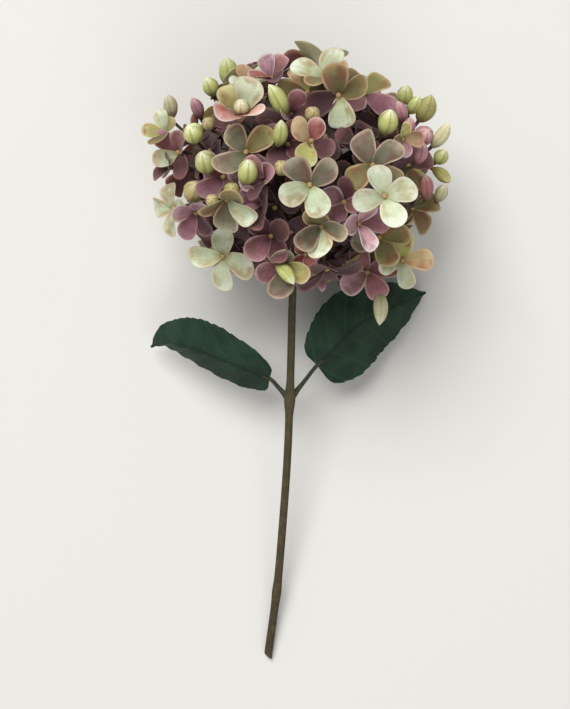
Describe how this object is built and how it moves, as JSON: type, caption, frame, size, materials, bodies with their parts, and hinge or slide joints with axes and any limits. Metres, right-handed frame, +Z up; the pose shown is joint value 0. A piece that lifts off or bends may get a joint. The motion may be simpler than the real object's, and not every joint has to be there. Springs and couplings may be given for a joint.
{
  "type": "cut hydrangea stem",
  "caption": "Cut hydrangea stem lying down: a round head of four-sepalled florets and closed buds on a slender woody stem with paired toothed leaves.",
  "frame": {"origin": "middle of the bounding box, on the surface that the stem lies on", "axes": "+Y from the stem's cut end towards the flower head, +Z up from the surface, +X to the right as seen from above"},
  "size_m": [0.1626, 0.3326, 0.1443],
  "materials": {
    "stem": "matte bark",
    "leaf": "matte, faintly veined",
    "sepals": "soft matte petal",
    "buds": "soft matte bud",
    "eyes": "matte bead",
    "flower_stalks": "matte green wood"
  },
  "bodies": {
    "root": {"stem": "stem", "leaf_left": "leaf", "leaf_right": "leaf", "flower_head": "sepals"}
  },
  "joints": []
}
